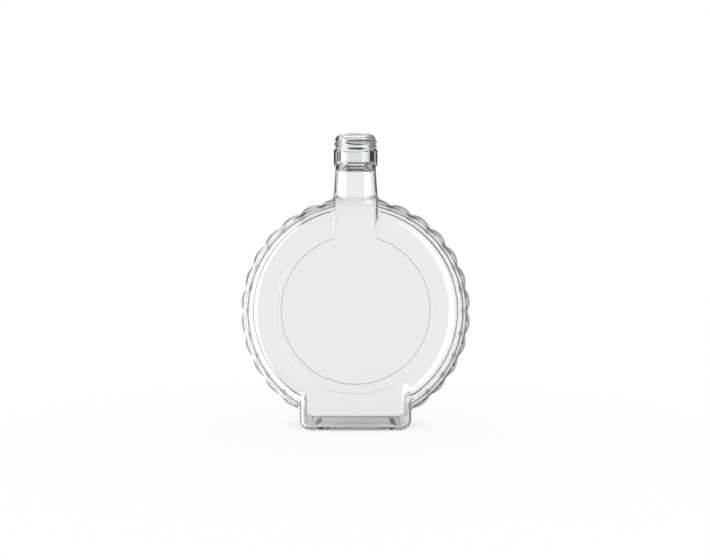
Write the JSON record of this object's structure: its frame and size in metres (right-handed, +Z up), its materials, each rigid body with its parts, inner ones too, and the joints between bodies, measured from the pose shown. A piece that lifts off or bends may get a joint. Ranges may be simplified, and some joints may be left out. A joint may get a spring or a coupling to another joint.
{
  "type": "canteen bottle",
  "caption": "Clear glass canteen-shaped bottle with a scalloped rim, flat round panels, a shoulder strip, a short neck with a screw finish and a rectangular foot.",
  "frame": {"origin": "on the standing plane, below the middle of the body", "axes": "+Z up along the neck, +X to the right seen from the front, +Y through the flat body from the front panel to the rear panel"},
  "size_m": [0.146, 0.05, 0.185],
  "materials": {
    "body_glass": "fire-polished clear flint glass, blown in a mould",
    "finish_glass": "thick clear flint glass, pressed in a neck ring"
  },
  "bodies": {
    "root": {"neck_finish": "finish_glass", "front_half": "body_glass", "rear_half": "body_glass", "base": "body_glass"}
  },
  "joints": []
}
